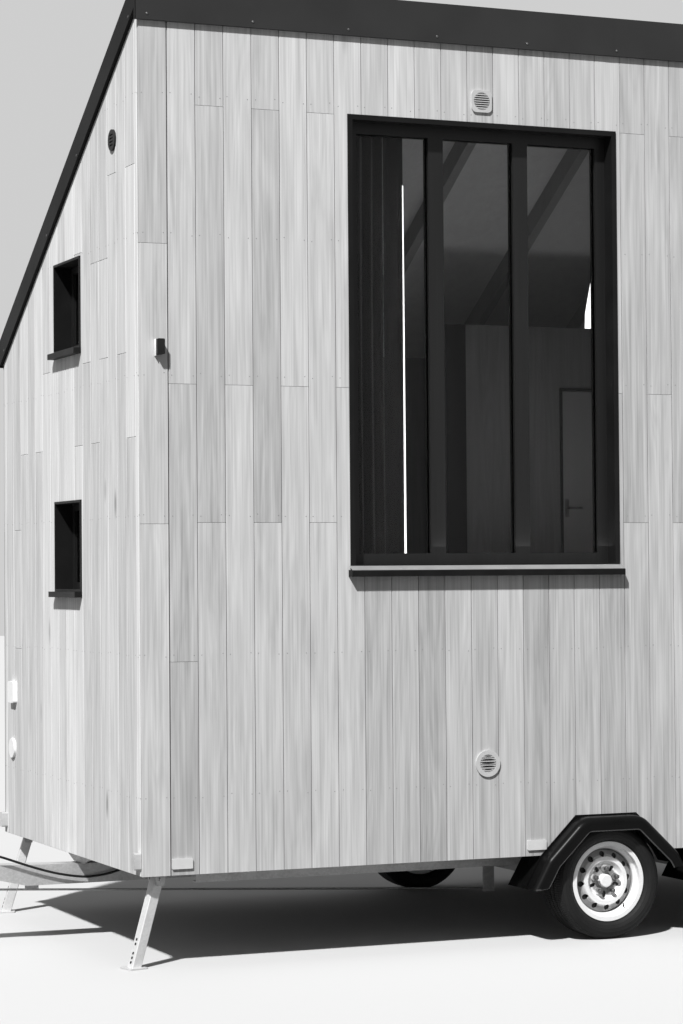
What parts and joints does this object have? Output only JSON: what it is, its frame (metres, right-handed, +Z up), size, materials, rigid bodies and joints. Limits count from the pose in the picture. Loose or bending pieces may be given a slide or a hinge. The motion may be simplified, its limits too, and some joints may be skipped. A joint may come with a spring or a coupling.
{
  "type": "tiny house on wheels",
  "caption": "Board-clad tiny house with a single-pitch roof and a tall barred window, on a tandem-axle trailer with a tapered drawbar and folding corner legs.",
  "frame": {"origin": "on the ground, in the middle of the overall length and width, with wheels and leg feet at z = 0", "axes": "+X from the drawbar towards the rear end, +Y from the tall window wall towards the low wall, +Z up"},
  "size_m": [6.2688, 2.37, 4.222],
  "materials": {
    "wall_boards": "painted, matt",
    "end_wall_boards": "painted, matt",
    "side_trim_metal": "satin",
    "end_trim_metal": "satin",
    "roof_metal": "satin",
    "roof_wood": "sawn",
    "inside_wood": "planed",
    "floor_wood": "matt",
    "inside_boards": "matt",
    "inside_paint": "painted, matt",
    "surround_metal": "satin",
    "frame_dark": "painted, satin",
    "door_dark": "painted, satin",
    "window_glass": "clear",
    "sill_metal": "satin",
    "curtain_cloth": "woven",
    "rail_steel": "brushed",
    "vent_plastic": "matt",
    "cover_plastic": "matt",
    "lamp_plastic": "gloss",
    "reflector_plastic": "gloss",
    "lamp_metal": "satin",
    "lead_black": "satin",
    "galvanised": "galvanised",
    "leg_steel": "galvanised",
    "black_iron": "painted",
    "rim_silver": "satin",
    "tyre_black": "matt",
    "guard_plastic": "gloss"
  },
  "bodies": {
    "house": {"axles": "galvanised", "brake_rod": "galvanised", "chassis_rails": "galvanised", "corner_lamps": "lamp_plastic", "coupling_head": "black_iron", "cross_members": "galvanised", "curtain": "curtain_cloth", "curtain_rail": "rail_steel", "door": "door_dark", "door_frame": "frame_dark", "drawbar_arms": "galvanised", "drawbar_end_wall": "end_wall_boards", "end_vent": "vent_plastic", "floor": "floor_wood", "head_plate": "galvanised", "high_side_roof_trim": "side_trim_metal", "high_side_wall": "wall_boards", "hookup_covers": "cover_plastic", "inner_door": "inside_paint", "lead_gland": "lead_black", "lead_plug": "lead_black", "leg_brackets": "galvanised", "lighting_lead": "lead_black", "louvre_vents": "vent_plastic", "low_side_roof_trim": "side_trim_metal", "low_side_wall": "wall_boards", "mudguards": "guard_plastic", "outdoor_lamp": "lamp_metal", "overrun_housing": "black_iron", "partition": "inside_boards", "plug_holder": "lead_black", "rafters": "inside_wood", "rake_trims": "end_trim_metal", "rear_end_wall": "end_wall_boards", "roof_deck": "roof_wood", "roof_sheet": "roof_metal", "side_reflectors": "reflector_plastic", "small_window_frames": "frame_dark", "small_window_glass": "window_glass", "small_window_surrounds": "surround_metal", "window_frame": "frame_dark", "window_glass": "window_glass", "window_sill": "sill_metal", "window_surround": "surround_metal"},
    "front_high_side_wheel": {"front_high_side_rim": "rim_silver", "front_high_side_tyre": "tyre_black"},
    "front_low_side_wheel": {"front_low_side_rim": "rim_silver", "front_low_side_tyre": "tyre_black"},
    "rear_high_side_wheel": {"rear_high_side_rim": "rim_silver", "rear_high_side_tyre": "tyre_black"},
    "rear_low_side_wheel": {"rear_low_side_rim": "rim_silver", "rear_low_side_tyre": "tyre_black"},
    "front_high_side_leg": {"front_high_side_leg": "leg_steel"},
    "front_low_side_leg": {"front_low_side_leg": "leg_steel"},
    "rear_high_side_leg": {"rear_high_side_leg": "leg_steel"},
    "rear_low_side_leg": {"rear_low_side_leg": "leg_steel"}
  },
  "joints": [
    {"name": "front_high_side_wheel_spin", "type": "hinge", "parent": "house", "child": "front_high_side_wheel", "pos_m": [0.49156, -1.035, 0.262], "axis": [0, 1, 0], "continuous": true},
    {"name": "front_low_side_wheel_spin", "type": "hinge", "parent": "house", "child": "front_low_side_wheel", "pos_m": [0.49156, 1.035, 0.262], "axis": [0, 1, 0], "continuous": true},
    {"name": "rear_high_side_wheel_spin", "type": "hinge", "parent": "house", "child": "rear_high_side_wheel", "pos_m": [1.29156, -1.035, 0.262], "axis": [0, 1, 0], "continuous": true},
    {"name": "rear_low_side_wheel_spin", "type": "hinge", "parent": "house", "child": "rear_low_side_wheel", "pos_m": [1.29156, 1.035, 0.262], "axis": [0, 1, 0], "continuous": true},
    {"name": "front_high_side_leg_fold", "type": "hinge", "parent": "house", "child": "front_high_side_leg", "pos_m": [-1.6395, -1.00321, 0.372], "axis": [0.2079, -0.9781, 0], "range_deg": [0, 105]},
    {"name": "front_low_side_leg_fold", "type": "hinge", "parent": "house", "child": "front_low_side_leg", "pos_m": [-1.6395, 1.00321, 0.372], "axis": [-0.2079, -0.9781, 0], "range_deg": [0, 105]},
    {"name": "rear_high_side_leg_fold", "type": "hinge", "parent": "house", "child": "rear_high_side_leg", "pos_m": [2.97062, -1.00321, 0.372], "axis": [0.2079, 0.9781, 0], "range_deg": [0, 105]},
    {"name": "rear_low_side_leg_fold", "type": "hinge", "parent": "house", "child": "rear_low_side_leg", "pos_m": [2.97062, 1.00321, 0.372], "axis": [-0.2079, 0.9781, 0], "range_deg": [0, 105]}
  ]
}
